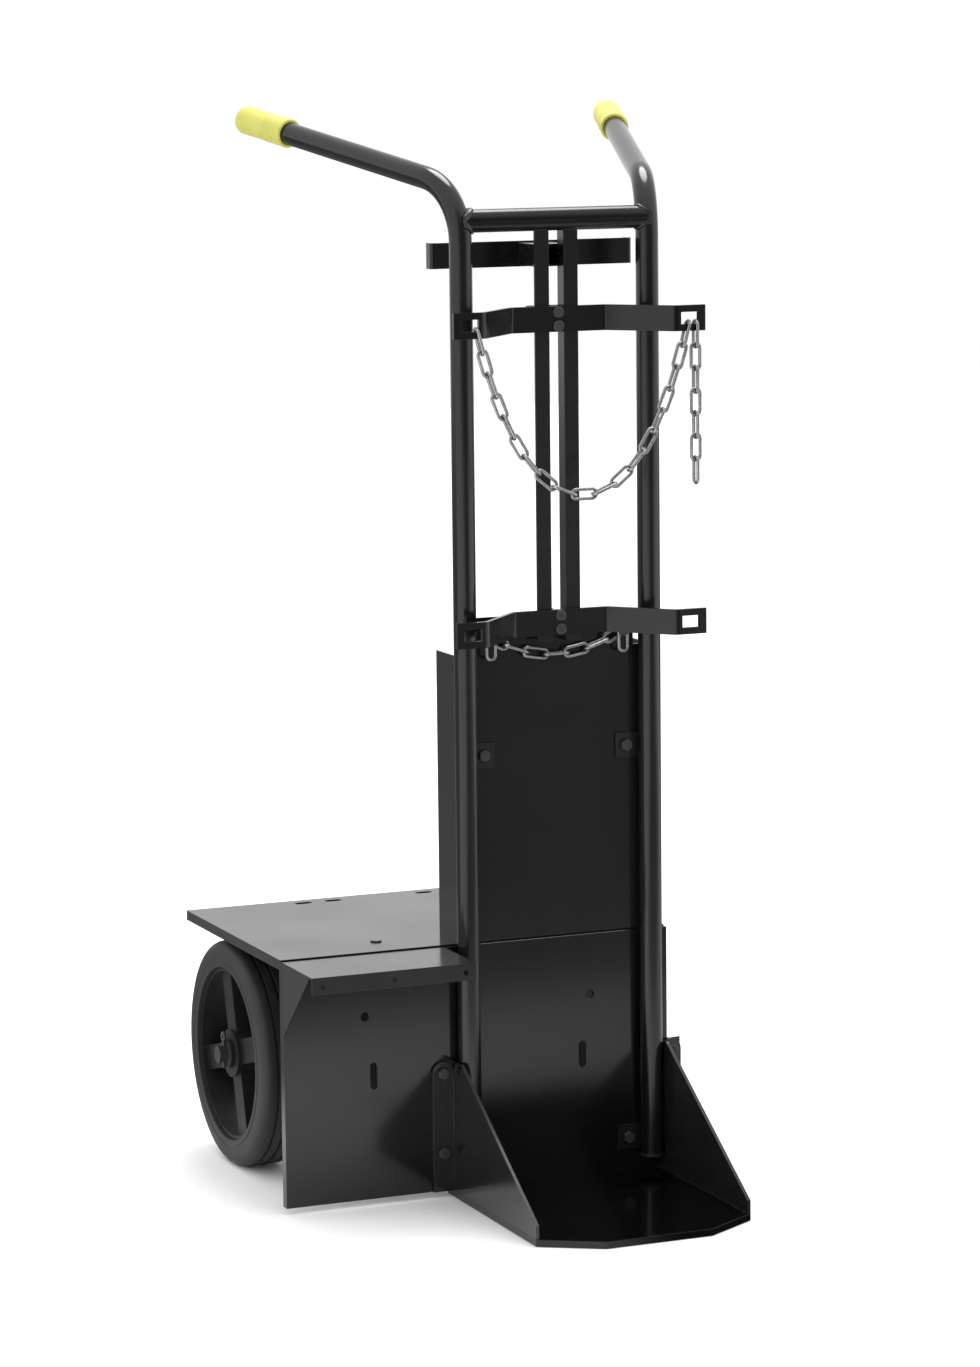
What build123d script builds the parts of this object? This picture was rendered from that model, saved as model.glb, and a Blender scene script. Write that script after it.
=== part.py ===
from build123d import *
import math
import os

# Welding trolley: a two-tube hand truck for a gas cylinder, with a platform for a welding set beside it.
# Millimetres. X is lateral, -Y is the cylinder side, +Z is up. The origin lies on the floor, under the toe
# plate, midway between the two uprights and below their axes.

# Tube frame
tube_diameter = 26.9
tube_wall = 2.3
upright_spacing = 236.0
upright_foot_height = 30.0
handle_corner_height = 1190.0
handle_back = 380.0
handle_splay = 121.0
handle_rise = 75.0
handle_bend_radius = 75.0
cross_tube_drop = 37.5
weld_gap = 0.1
plug_length = 18.0
plug_head = 4.0
plug_clearance = 0.1

# Grips
grip_length = 90.0
grip_wall = 4.0
grip_end_wall = 6.0
grip_clearance = 0.1
grip_rounding = 4.0

# Mast of two angles and the saddles that clamp to it
rail_leg = 18.0
rail_thickness = 3.0
rail_gap = 18.5
rail_foot = 8.0
saddle_bar_height = 30.0
saddle_bar_thickness = 5.0
saddle_flat = 120.0
saddle_arm_width = 60.0
saddle_reach = 65.0
saddle_ear_length = 38.0
saddle_bend_radius = 8.0
saddle_slot_length = 22.0
saddle_slot_height = 14.0
saddle_slot_inset = 20.0
upper_saddle_drop = 115.5
lower_saddle_rise = 35.0
clamp_plate_width = 58.0
clamp_plate_thickness = 5.0
saddle_bolt_pitch = 16.0

# Chain of welded long links
chain_wire = 4.0
chain_pitch = 26.7
chain_width = 15.0
chain_clearance = 0.3
anchor_play = 0.75
anchor_spacing = 9.5
upper_chain_links = 19
tail_links = 7
lower_chain_links = 7
lower_chain_slack = 9.5
lower_chain_drop = 14.0

# Cable hanger
hanger_length = 257.0
hanger_bar_height = 30.0
hanger_bar_thickness = 5.0
hanger_lip = 15.0
hanger_rounding = 4.5
hanger_back = 65.0
hanger_drop = 42.5
stem_width = 40.0
stem_height = 26.0
stem_wall = 3.0

# Folded sheet work
sheet = 2.0
seat_gap = 0.1
spine_width = 252.0
spine_depth = 57.0
spine_height = 344.0
spine_foot_width = 24.0
spine_gap = 3.0
spine_tab_rise = 43.0
spine_tab_width = 206.0
chassis_left = -346.0
chassis_right = 145.0
platform_height = 303.0
platform_depth = 340.0
platform_sheet = 1.5
platform_lip = 12.0
platform_setback = 6.0
apron_return = 10.0
apron_top_return = 20.0
apron_lug = 17.0
shelf_depth = 97.0
shelf_right = -143.0
shelf_lip = 20.0
shelf_wing_height = 86.0
shelf_wing_setback = 10.0
shelf_bolt_count = 3
strap_slot_length = 22.0
strap_slot_width = 10.0
strap_slot_pitch = 39.0
strap_slot_inset = 20.0
strap_slot_offset = 80.0
accessory_hole_diameter = 11.0
accessory_hole_offset = 144.0
accessory_hole_height = 228.0
accessory_slot_width = 9.0
accessory_slot_length = 32.0
accessory_slot_offset = 134.0
accessory_slot_height = 156.0

# Toe plate and gussets
toe_thickness = 8.0
toe_front = 276.0
toe_chamfer_depth = 42.0
toe_chamfer_width = 69.0
toe_tail = 16.0
gusset_thickness = 4.0
gusset_height = 157.0
gusset_flat = 28.0
gusset_nose = 16.0
gusset_flange = 26.0
gusset_bolt_drop = 14.0
gusset_bolt_rise = 47.0

# Lugs that carry the sheet work on the uprights
lug_length = 26.0
lug_height = 30.0
lug_thickness = 3.0
spine_lug_height = 527.0
apron_lug_height = 49.0

# Wheels and axle
wheel_diameter = 276.0
wheel_width = 64.0
wheel_inset = 50.0
rim_diameter = 212.0
rim_thickness = 5.0
rim_width = 54.0
tyre_shoulder = 12.0
tyre_groove_width = 3.5
tyre_groove_depth = 3.0
tyre_groove_offset = 13.0
tyre_seat_gap = 0.1
spoke_count = 4
spoke_lean = 15.0
spoke_width = 30.0
spoke_thickness = 40.0
hub_diameter = 58.0
hub_length = 52.0
bush_wall = 3.5
bush_length = 20.0
bush_flange_width = 4.0
bush_flange_thickness = 3.0
bush_seat_gap = 0.05
axle_diameter = 20.0
axle_back = 273.0
axle_end = 9.0
axle_chamfer = 1.0
running_clearance = 0.06
side_clearance = 0.4
washer_thickness = 2.5
washer_width = 8.0
spacer_wall = 3.2
cotter_diameter = 4.0
cotter_length = 34.0
cotter_clearance = 0.2
cotter_eye_diameter = 9.0
bracket_offset = 120.0
bracket_thickness = 4.0
bracket_flange = 26.0
bracket_boss = 26.0
bracket_front_drop = 38.0
bracket_rear_margin = 30.0
bracket_bolt_front = 60.0
bracket_stud_rear = 250.0

# Fasteners: across the flats of a hex head, head and nut heights, and the play of a bolt in its hole
bolt_diameter = 8.0
hex_flats = 13.0
hex_head_height = 5.3
nut_height = 6.5
bolt_tail = 2.5
hole_play = 0.5
thread_gap = 0.05
small_bolt_diameter = 6.0
small_hex_flats = 10.0
small_nut_height = 5.0
dome_diameter = 14.0
dome_height = 3.5
low_dome_height = 2.0
dome_rim = 0.5
head_chamfer = 0.7

# Sizes that follow from the ones above
tube_radius = tube_diameter / 2
upright_x = upright_spacing / 2
cross_tube_height = handle_corner_height - cross_tube_drop
hanger_height = cross_tube_height - hanger_drop
upper_saddle_height = cross_tube_height - upper_saddle_drop
sheet_front = tube_radius + seat_gap
sheet_back = sheet_front + sheet
gusset_inner = upright_x + tube_radius + seat_gap
gusset_outer = gusset_inner + gusset_thickness
gusset_bolt_x = gusset_outer + gusset_flange / 2
rail_back = sheet_front
rail_front = rail_leg - rail_back
saddle_plane = rail_front + saddle_bar_thickness / 2
ear_plane = saddle_plane + saddle_reach
ear_inner = saddle_flat / 2 + saddle_arm_width
slot_x = ear_inner + saddle_ear_length - saddle_slot_inset
spine_top = platform_height + spine_height
lower_saddle_height = spine_top + lower_saddle_rise
chassis_centre = (chassis_left + chassis_right) / 2
wheel_radius = wheel_diameter / 2
wheel_x = (chassis_right - chassis_left) / 2 - wheel_inset
axle_height = wheel_radius
platform_under = platform_height - platform_sheet
platform_front = sheet_back + platform_setback
platform_back = sheet_back + platform_depth
lug_bolt_x = upright_x - tube_radius - lug_length / 2
hub_half = hub_length / 2 + bush_flange_thickness
os.makedirs("parts", exist_ok=True)


def save(name, shapes):
    # Writes one sub-part, which may be a group of separate solids.
    solids = shapes if isinstance(shapes, list) else [shapes]
    group = solids[0] if len(solids) == 1 else Compound(children=solids)
    export_step(group, f"parts/{name}.step")


def block(x0, x1, y0, y1, z0, z1):
    # A box between two corners.
    return Pos((x0 + x1) / 2, (y0 + y1) / 2, (z0 + z1) / 2) * Box(x1 - x0, y1 - y0, z1 - z0)


def rod(start, end, radius):
    # A round bar from one point to another.
    axis = Vector(*end) - Vector(*start)
    plane = Plane(origin=start, z_dir=axis)
    return extrude(plane * Circle(radius), axis.length)


def mirrored(shape):
    # The same piece on the other side of the plane midway between the uprights.
    return mirror(shape, about=Plane.YZ)


def chassis_mirrored(shape):
    # The same piece on the other side of the chassis's own middle plane.
    return mirror(shape, about=Plane.YZ.offset(chassis_centre))


def hole_y(x, z, diameter):
    # A drill along Y, long enough to pass any of the upright sheets and bars.
    return rod((x, -ear_plane * 2, z), (x, platform_back * 2, z), diameter / 2)


def hole_z(x, y, diameter):
    # A drill along Z through the platform and what is bolted to it.
    return rod((x, y, platform_height - platform_lip), (x, y, platform_height + platform_lip), diameter / 2)


def hex_bolt(length, diameter=bolt_diameter, flats=hex_flats):
    # A hex-head bolt along -Z: the head's seat is at the origin and the shank runs down.
    head = extrude(RegularPolygon(flats / 2, 6, major_radius=False), hex_head_height)
    shank = Pos(0, 0, -length / 2) * Cylinder(diameter / 2, length)
    return chamfer(head.edges().group_by(Axis.Z)[-1], head_chamfer) + shank


def hex_nut(diameter=bolt_diameter, flats=hex_flats, height=nut_height):
    # A hex nut whose seat is at the origin, standing down along -Z.
    body = extrude(RegularPolygon(flats / 2, 6, major_radius=False), -height)
    return body - Pos(0, 0, -height / 2) * Cylinder(diameter / 2 + thread_gap, height * 2)


def bolted(place, grip):
    # A hex bolt with its head's seat at a place, and the nut behind the clamped thickness.
    bolt = place * hex_bolt(grip + nut_height + bolt_tail)
    nut = place * Pos(0, 0, -grip) * hex_nut()
    return [bolt, nut]


# Uprights: one tube each, bent back and outward at the top into a handle.
handle_start = Vector(upright_x, 0, handle_corner_height)
handle_tip = Vector(upright_x + handle_splay, handle_back, handle_corner_height + handle_rise)
handle_axis = (handle_tip - handle_start).normalized()
upright_base = (upright_x, 0, upright_foot_height)
upright_path = FilletPolyline(upright_base, handle_start, handle_tip, radius=handle_bend_radius)
upright_foot = Plane.XY.offset(upright_foot_height) * Pos(upright_x, 0)
tube_section = Circle(tube_radius) - Circle(tube_radius - tube_wall)
right_upright = sweep(upright_foot * tube_section, path=upright_path)
upright_envelope = sweep(upright_foot * Circle(tube_radius + weld_gap), path=upright_path)
upright_line = rod(upright_base, handle_start, tube_radius + weld_gap)
save("right_upright", right_upright)
save("left_upright", mirrored(right_upright))

# Plugs in the lower ends of the uprights.
plug_radius = tube_radius - tube_wall - plug_clearance
plug = Pos(upright_x, 0, upright_foot_height + plug_length / 2) * Cylinder(plug_radius, plug_length)
plug += Pos(upright_x, 0, upright_foot_height - plug_head / 2) * Cylinder(tube_radius, plug_head)
save("upright_plugs", [plug, mirrored(plug)])

# Grips: closed sleeves pushed on the handle ends.
grip_radius = tube_radius + grip_clearance + grip_wall
grip_open = handle_tip - handle_axis * (grip_length - grip_end_wall)
grip_closed = handle_tip + handle_axis * grip_end_wall
grip = rod(grip_open, grip_closed, grip_radius)
grip = fillet(grip.edges().sort_by(Axis.Y)[-1], grip_rounding)
grip -= rod(grip_open - handle_axis * grip_length, handle_tip, tube_radius + grip_clearance)
save("right_grip", grip)
save("left_grip", mirrored(grip))

# Top cross tube, coped to the uprights.
cross_end = (upright_x, 0, cross_tube_height)
cross_start = (-upright_x, 0, cross_tube_height)
cross_tube = rod(cross_start, cross_end, tube_radius) - rod(cross_start, cross_end, tube_radius - tube_wall)
cross_cope = upright_envelope + upright_line
cross_tube = cross_tube - cross_cope - mirrored(cross_cope)
save("top_cross_tube", cross_tube)

# Mast: two angles back to back on the spine's upper tab, with a gap that the saddle bolts slide in.
rail_inner = rail_gap / 2
rail_bottom = lower_saddle_height - saddle_bar_height / 2 - rail_foot
rail_outer = rail_inner + rail_leg
rail_web = rail_inner + rail_thickness
rail_face = rail_thickness - rail_front
right_rail = block(rail_inner, rail_outer, -rail_front, rail_face, rail_bottom, cross_tube_height)
right_rail += block(rail_inner, rail_web, -rail_front, rail_back, rail_bottom, cross_tube_height)
right_rail -= rod(cross_start, cross_end, tube_radius + weld_gap)
save("right_mast_rail", right_rail)
save("left_mast_rail", mirrored(right_rail))

# Cable hanger: a flat bar with its ends turned back, on a short box stem behind the mast.
hanger_front = hanger_back + hanger_bar_thickness
hanger_z0 = hanger_height - hanger_bar_height / 2
hanger_z1 = hanger_height + hanger_bar_height / 2
hanger = block(-hanger_length / 2, hanger_length / 2, hanger_back, hanger_front, hanger_z0, hanger_z1)
for side in (-1, 1):
    end = side * hanger_length / 2
    inside = side * (hanger_length / 2 - hanger_bar_thickness)
    x0, x1 = sorted((end, inside))
    hanger += block(x0, x1, hanger_back, hanger_back + hanger_lip, hanger_z0, hanger_z1)
hanger = fillet(hanger.edges().filter_by(Axis.Z).group_by(Axis.Y)[0], hanger_rounding)
save("cable_hanger", hanger)

stem_z0 = hanger_height - stem_height / 2
stem_z1 = stem_z0 + stem_height
stem_half = stem_width / 2
stem_core = stem_half - stem_wall
stem = block(-stem_half, stem_half, rail_back, hanger_back, stem_z0, stem_z1)
stem -= block(-stem_core, stem_core, 0, hanger_back, stem_z0 + stem_wall, stem_z1 - stem_wall)
save("hanger_stem", stem)

# Saddles: flat bar folded to a hat, with a chain slot in each ear, clamped to the mast by two bolts.
saddle_points = [
    (-ear_inner - saddle_ear_length, -ear_plane),
    (-ear_inner, -ear_plane),
    (-saddle_flat / 2, -saddle_plane),
    (saddle_flat / 2, -saddle_plane),
    (ear_inner, -ear_plane),
    (ear_inner + saddle_ear_length, -ear_plane),
]
saddle_front = saddle_plane + saddle_bar_thickness / 2
upper_bolt_reach = saddle_front + rail_back + clamp_plate_thickness
lower_bolt_reach = saddle_front + sheet_back


def saddle(height):
    # One folded bar, its slots and its bolt holes.
    path = FilletPolyline(*[(x, y, height) for x, y in saddle_points], radius=saddle_bend_radius)
    section_plane = Plane(origin=path @ 0, x_dir=(0, 1, 0), z_dir=(1, 0, 0))
    section = section_plane * Rectangle(saddle_bar_thickness, saddle_bar_height)
    bar = sweep(section, path=path)
    for side in (-1, 1):
        bar -= block(
            side * slot_x - saddle_slot_length / 2,
            side * slot_x + saddle_slot_length / 2,
            -ear_plane - saddle_bar_thickness,
            -ear_plane + saddle_bar_thickness,
            height - saddle_slot_height / 2,
            height + saddle_slot_height / 2,
        )
        bolt_z = height + side * saddle_bolt_pitch / 2
        bar -= rod((0, -saddle_front * 2, bolt_z), (0, 0, bolt_z), (small_bolt_diameter + hole_play) / 2)
    return bar


def clamp_plate(height):
    # The plate behind the mast that the saddle bolts draw up.
    half = saddle_bar_height / 2
    plate = block(
        -clamp_plate_width / 2,
        clamp_plate_width / 2,
        rail_back,
        rail_back + clamp_plate_thickness,
        height - half,
        height + half,
    )
    for side in (-1, 1):
        bolt_z = height + side * saddle_bolt_pitch / 2
        plate -= rod((0, 0, bolt_z), (0, rail_back * 4, bolt_z), (small_bolt_diameter + hole_play) / 2)
    return plate


def dome_bolt(reach, height=dome_height):
    # A dome-headed bolt along -Z, its head's seat at the origin, and its nut behind what it clamps.
    dome = extrude(Circle(dome_diameter / 2), height)
    dome = fillet(dome.edges().group_by(Axis.Z)[-1], height - dome_rim)
    shank_length = reach + small_nut_height + bolt_tail
    shank = Pos(0, 0, -shank_length / 2) * Cylinder(small_bolt_diameter / 2, shank_length)
    nut = hex_nut(small_bolt_diameter, small_hex_flats, small_nut_height)
    return [dome + shank, Pos(0, 0, -reach) * nut]


def saddle_bolts(height, reach):
    # Two dome-headed bolts through the gap of the mast, with their nuts.
    pieces = []
    for side in (-1, 1):
        bolt_z = height + side * saddle_bolt_pitch / 2
        place = Plane(origin=(0, -saddle_front, bolt_z), z_dir=(0, -1, 0)).location
        pieces += [place * piece for piece in dome_bolt(reach)]
    return pieces


save("upper_saddle", saddle(upper_saddle_height))
save("lower_saddle", saddle(lower_saddle_height))
save("upper_clamp_plate", clamp_plate(upper_saddle_height))
save("upper_saddle_bolts", saddle_bolts(upper_saddle_height, upper_bolt_reach))
save("lower_saddle_bolts", saddle_bolts(lower_saddle_height, lower_bolt_reach))

# Chain: separate welded links, each a bar bent to a long loop.
link_arc = (chain_width - chain_wire) / 2
link_straight = (chain_pitch + chain_wire) / 2 - link_arc
link_tip = link_straight + link_arc
link_path = Wire(
    [
        Line((link_arc, -link_straight), (link_arc, link_straight)),
        ThreePointArc((link_arc, link_straight), (0, link_tip), (-link_arc, link_straight)),
        Line((-link_arc, link_straight), (-link_arc, -link_straight)),
        ThreePointArc((-link_arc, -link_straight), (0, -link_tip), (link_arc, -link_straight)),
    ]
)
link_section = Plane(origin=(link_arc, -link_straight, 0), z_dir=(0, 1, 0)) * Circle(chain_wire / 2)
link = sweep(link_section, path=link_path)
link_step = chain_pitch - chain_clearance


def placed_link(start, end, normal, turned):
    # A link midway between two points of the chain's line. It lies in the plane square to the normal, or,
    # where it is turned by a quarter, in the plane of the line and the normal.
    run = (end - start).normalized()
    across = normal if turned else normal.cross(run)
    return Plane(origin=(start + end) * 0.5, x_dir=across, z_dir=across.cross(run)).location * link


def hung_points(half_span, count):
    # The joints of a chain that hangs between two level points, in its own plane, from left to right.
    half_length = count * link_step / 2
    low, high = half_span / 50, half_span * 50
    for _ in range(80):
        scale = (low + high) / 2
        if scale * math.sinh(half_span / scale) > half_length:
            low = scale
        else:
            high = scale
    drop = scale * math.cosh(half_span / scale)
    points = []
    for index in range(count + 1):
        x = scale * math.asinh((index * link_step - half_length) / scale)
        points.append(Vector(x, 0, scale * math.cosh(x / scale) - drop))
    return points


def chain_along(points, first_turned):
    # Links from point to point of a line in a plane square to Y, every second one turned by a quarter.
    links = []
    for index in range(len(points) - 1):
        turned = first_turned if index % 2 == 0 else not first_turned
        links.append(placed_link(points[index], points[index + 1], depthwise, turned))
    return links


up = Vector(0, 0, 1)
depthwise = Vector(0, 1, 0)
anchor_reach = (saddle_slot_length - chain_wire) / 2 - anchor_play
tail_x = slot_x + anchor_reach
swag_right = tail_x - anchor_spacing
swag_left = anchor_reach - slot_x
slot_floor = upper_saddle_height - saddle_slot_height / 2
link_inner_arc = link_arc - chain_wire / 2
bar_rise = link_inner_arc - math.sqrt(link_inner_arc**2 - (saddle_bar_thickness / 2) ** 2)
anchor_seat = bar_rise + chain_clearance


# The end links go through the slots and round the strip of bar below, where their bends rest on its edges.
hang_height = slot_floor + anchor_seat + chain_clearance / 2
swag_origin = Vector((swag_left + swag_right) / 2, -ear_plane, hang_height)
swag_line = hung_points((swag_right - swag_left) / 2, upper_chain_links)
swag_chain = chain_along([swag_origin + point for point in swag_line], True)
tail_top = Vector(tail_x, -ear_plane, hang_height)
tail_points = [tail_top - up * (link_step * index) for index in range(tail_links + 1)]
tail_chain = chain_along(tail_points, True)
save("upper_chain_anchors", [swag_chain[0], swag_chain[-1], tail_chain[0]])
save("upper_chain", swag_chain[1:-1])
save("chain_tail", tail_chain[1:])

# The lower chain hangs in front of the spine's tab between two bolts, with a spare link on each bolt.
lower_chain_span = lower_chain_links * link_step - lower_chain_slack
lower_line = hung_points(lower_chain_span / 2, lower_chain_links)
end_run = (lower_line[1] - lower_line[0]).normalized()
pin_radius = small_bolt_diameter / 2
pin_offset = pin_radius + chain_clearance / 2
lower_chain_y = sheet_front - chain_width / 2 - chain_clearance
lower_origin = Vector(0, lower_chain_y, lower_saddle_height - lower_chain_drop)
left_pin = lower_origin + lower_line[0] + end_run * pin_offset
lower_links = chain_along([lower_origin + point for point in lower_line], False)
spare_y = lower_chain_y - chain_wire - chain_clearance
spare_start = Vector(left_pin.X, spare_y, left_pin.Z + pin_offset)
spare_link = placed_link(spare_start, spare_start - up * link_step, depthwise, False)
save("lower_chain_end_links", [lower_links[0], lower_links[-1], spare_link, mirrored(spare_link)])
save("lower_chain", lower_links[1:-1])
pin_head_y = spare_y - chain_wire / 2 - chain_clearance
pin_place = Plane(origin=(left_pin.X, pin_head_y, left_pin.Z), z_dir=(0, -1, 0)).location
left_pin_pieces = [pin_place * piece for piece in dome_bolt(sheet_back - pin_head_y)]
save("lower_chain_bolts", left_pin_pieces + [mirrored(piece) for piece in left_pin_pieces])

# Toe plate: flat plate on the floor with its front corners cut off.
toe_tail_y = sheet_back + toe_tail
toe_shoulder = toe_front - toe_chamfer_depth
toe_nose = gusset_outer - toe_chamfer_width
toe_outline = Polyline(
    (-gusset_outer, toe_tail_y),
    (gusset_outer, toe_tail_y),
    (gusset_outer, -toe_shoulder),
    (toe_nose, -toe_front),
    (-toe_nose, -toe_front),
    (-gusset_outer, -toe_shoulder),
    close=True,
)
save("toe_plate", extrude(make_face(toe_outline), toe_thickness))

# Gussets: triangular side plates on the toe plate, with a rear flange bolted to the apron.
gusset_top = toe_thickness + gusset_height
gusset_outline = Polyline(
    (sheet_front, toe_thickness),
    (sheet_front, gusset_top),
    (sheet_front - gusset_flat, gusset_top),
    (-toe_shoulder, toe_thickness + gusset_nose),
    (-toe_shoulder, toe_thickness),
    close=True,
)
right_gusset = extrude(Plane.YZ.offset(gusset_inner) * make_face(gusset_outline), gusset_thickness)
flange_front = sheet_front - gusset_thickness
flange_edge = gusset_outer + gusset_flange
cap_z = gusset_top - gusset_flange / 2
flange = block(gusset_outer, flange_edge, flange_front, sheet_front, toe_thickness, cap_z)
cap_start = (gusset_bolt_x, flange_front, cap_z)
cap_end = (gusset_bolt_x, sheet_front, cap_z)
flange_cap = rod(cap_start, cap_end, gusset_flange / 2)
right_gusset = right_gusset + flange + flange_cap
gusset_bolt_heights = (gusset_top - gusset_bolt_drop, toe_thickness + gusset_bolt_rise)
for bolt_z in gusset_bolt_heights:
    right_gusset -= hole_y(gusset_bolt_x, bolt_z, bolt_diameter + hole_play)
save("right_gusset", right_gusset)
save("left_gusset", mirrored(right_gusset))
facing_front = [
    Plane(origin=(side * gusset_bolt_x, flange_front, bolt_z), z_dir=(0, -1, 0)).location
    for side in (-1, 1)
    for bolt_z in gusset_bolt_heights
]
gusset_bolts = []
for place in facing_front:
    gusset_bolts += bolted(place, gusset_thickness + sheet)
save("gusset_bolts", gusset_bolts)

# Apron: the wide front panel of the chassis, standing on the toe plate behind the uprights.
apron = block(chassis_left, chassis_right, sheet_front, sheet_back, toe_thickness, platform_under)
apron += block(chassis_right, chassis_right + apron_lug, sheet_front, sheet_back, toe_thickness, gusset_top)
top_return_back = sheet_back + apron_top_return
top_return_z = platform_under - sheet
apron += block(chassis_left, chassis_right, sheet_back, platform_front, top_return_z, platform_under)
inner_left = chassis_left + sheet
inner_right = chassis_right - sheet
apron += block(inner_left, inner_right, sheet_back, top_return_back, top_return_z, platform_under)
return_back = sheet_back + apron_return
lip_z = platform_height - platform_lip
for wall_x, wall_z in ((chassis_left, toe_thickness), (inner_right, gusset_top)):
    apron += block(wall_x, wall_x + sheet, sheet_back, return_back, wall_z, lip_z)
    apron += block(wall_x, wall_x + sheet, sheet_back, platform_front, lip_z, platform_under)
for side in (-1, 1):
    hole_x = chassis_centre + side * accessory_hole_offset
    apron -= hole_y(hole_x, accessory_hole_height, accessory_hole_diameter)
    slot_place = Pos(chassis_centre + side * accessory_slot_offset, accessory_slot_height)
    slot_face = Plane.XZ.offset(-sheet_back) * slot_place * SlotOverall(
        accessory_slot_length, accessory_slot_width, rotation=90
    )
    apron -= extrude(slot_face, sheet)
    apron -= hole_y(side * lug_bolt_x, apron_lug_height, bolt_diameter + hole_play)
    for bolt_z in gusset_bolt_heights:
        apron -= hole_y(side * gusset_bolt_x, bolt_z, bolt_diameter + hole_play)

# Platform: a shallow tray turned upside down behind the apron, with strap slots along its rear edge.
tray = block(chassis_left, chassis_right, platform_front, platform_back, lip_z, platform_height)
tray -= block(inner_left, inner_right, 0, platform_back - sheet, 0, platform_under)
bracket_bolt_x = bracket_offset - bracket_thickness / 2 - bracket_flange / 2
bracket_bolt_y = sheet_back + bracket_bolt_front
bracket_stud_y = sheet_back + bracket_stud_rear
for side in (-1, 1):
    for half in (-1, 1):
        strap_x = chassis_centre + side * strap_slot_offset + half * strap_slot_pitch / 2
        strap_place = Pos(strap_x, platform_back - strap_slot_inset, platform_under)
        tray -= extrude(strap_place * SlotOverall(strap_slot_length, strap_slot_width), platform_sheet)
    tray -= hole_z(chassis_centre + side * bracket_bolt_x, bracket_bolt_y, small_bolt_diameter + hole_play)
spine_bolt_x = spine_width / 2 - sheet - spine_foot_width / 2
spine_bolt_y = sheet_back + spine_depth / 2
for side in (-1, 1):
    tray -= hole_z(side * spine_bolt_x, spine_bolt_y, bolt_diameter + hole_play)
save("platform", tray)

# Shelf: a narrow step in front of the apron, with a lip round it and a wing at its outer end.
shelf_front = shelf_depth - sheet_front
shelf_top = platform_under
shelf_low = shelf_top - shelf_lip
shelf_under = shelf_top - sheet
shelf = block(chassis_left, shelf_right, -shelf_front, sheet_front, shelf_low, shelf_top)
shelf_back = sheet_front - sheet
shelf -= block(chassis_left - sheet, shelf_right - sheet, sheet - shelf_front, shelf_back, 0, shelf_under)
wing_outline = Polyline(
    (shelf_wing_setback - shelf_front, shelf_top),
    (sheet_front, shelf_top),
    (sheet_front, shelf_top - shelf_wing_height),
    close=True,
)
shelf += extrude(Plane.YZ.offset(chassis_left) * make_face(wing_outline), sheet)
shelf_hole = small_bolt_diameter + hole_play
shelf_bolt_z = (shelf_low + shelf_under) / 2
shelf_bolt_inset = hex_flats
shelf_bolt_pitch = (shelf_right - chassis_left - shelf_bolt_inset * 2) / (shelf_bolt_count - 1)
shelf_bolts = []
for index in range(shelf_bolt_count):
    x = chassis_left + shelf_bolt_inset + index * shelf_bolt_pitch
    shelf -= hole_y(x, shelf_bolt_z, shelf_hole)
    apron -= hole_y(x, shelf_bolt_z, shelf_hole)
    place = Plane(origin=(x, shelf_back, shelf_bolt_z), z_dir=(0, -1, 0)).location
    shank = sheet * 2 + small_nut_height + bolt_tail
    shelf_bolts.append(place * hex_bolt(shank, small_bolt_diameter, small_hex_flats))
    nut = hex_nut(small_bolt_diameter, small_hex_flats, small_nut_height)
    shelf_bolts.append(place * Pos(0, 0, -sheet * 2) * nut)
save("front_shelf", shelf)
save("apron", apron)
save("shelf_bolts", shelf_bolts)

# Spine: a folded U panel behind the uprights, with feet on the platform and a tab that carries the mast.
spine_half = spine_width / 2
spine_back = sheet_front + spine_depth
spine_bottom = platform_under + spine_gap
spine = block(-spine_half, spine_half, sheet_front, sheet_back, spine_bottom, spine_top)
tab_half = spine_tab_width / 2
spine += block(-tab_half, tab_half, sheet_front, sheet_back, spine_top, spine_top + spine_tab_rise)
for side in (-1, 1):
    wall = sorted((side * spine_half, side * (spine_half - sheet)))
    spine += block(wall[0], wall[1], sheet_front, spine_back, spine_bottom, spine_top)
    spine += block(wall[0], wall[1], sheet_back, spine_back, platform_height, spine_top)
    foot = sorted((side * spine_half, side * (spine_half - sheet - spine_foot_width)))
    spine += block(foot[0], foot[1], platform_front, spine_back, platform_height, platform_height + sheet)
    spine -= hole_y(side * lug_bolt_x, spine_lug_height, bolt_diameter + hole_play)
    spine -= hole_y(side * left_pin.X, left_pin.Z, small_bolt_diameter + hole_play)
    spine -= hole_y(0, lower_saddle_height + side * saddle_bolt_pitch / 2, small_bolt_diameter + hole_play)
    spine -= hole_z(side * spine_bolt_x, spine_bolt_y, bolt_diameter + hole_play)
save("spine_panel", spine)
spine_bolts = []
for side in (-1, 1):
    place = Pos(side * spine_bolt_x, spine_bolt_y, platform_height + sheet)
    spine_bolts += bolted(place, sheet + platform_sheet)
save("spine_foot_bolts", spine_bolts)

# Lugs: small tabs welded to the inner side of each upright, bolted to the spine and the apron.
right_lugs = []
for lug_z in (spine_lug_height, apron_lug_height):
    lug = block(
        upright_x - tube_radius - lug_length,
        upright_x,
        sheet_front - lug_thickness,
        sheet_front,
        lug_z - lug_height / 2,
        lug_z + lug_height / 2,
    )
    lug -= upright_envelope
    lug -= block(upright_x, upright_x + tube_diameter, 0, tube_diameter, 0, handle_corner_height)
    lug -= hole_y(lug_bolt_x, lug_z, bolt_diameter + hole_play)
    right_lugs.append(lug.solids().sort_by(Axis.X)[0])
save("right_upright_lugs", right_lugs)
save("left_upright_lugs", [mirrored(lug) for lug in right_lugs])
lug_bolts = []
for side in (-1, 1):
    for lug_z in (spine_lug_height, apron_lug_height):
        seat = (side * lug_bolt_x, sheet_front - lug_thickness, lug_z)
        place = Plane(origin=seat, z_dir=(0, -1, 0)).location
        lug_bolts += bolted(place, lug_thickness + sheet)
save("lug_bolts", lug_bolts)

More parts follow.
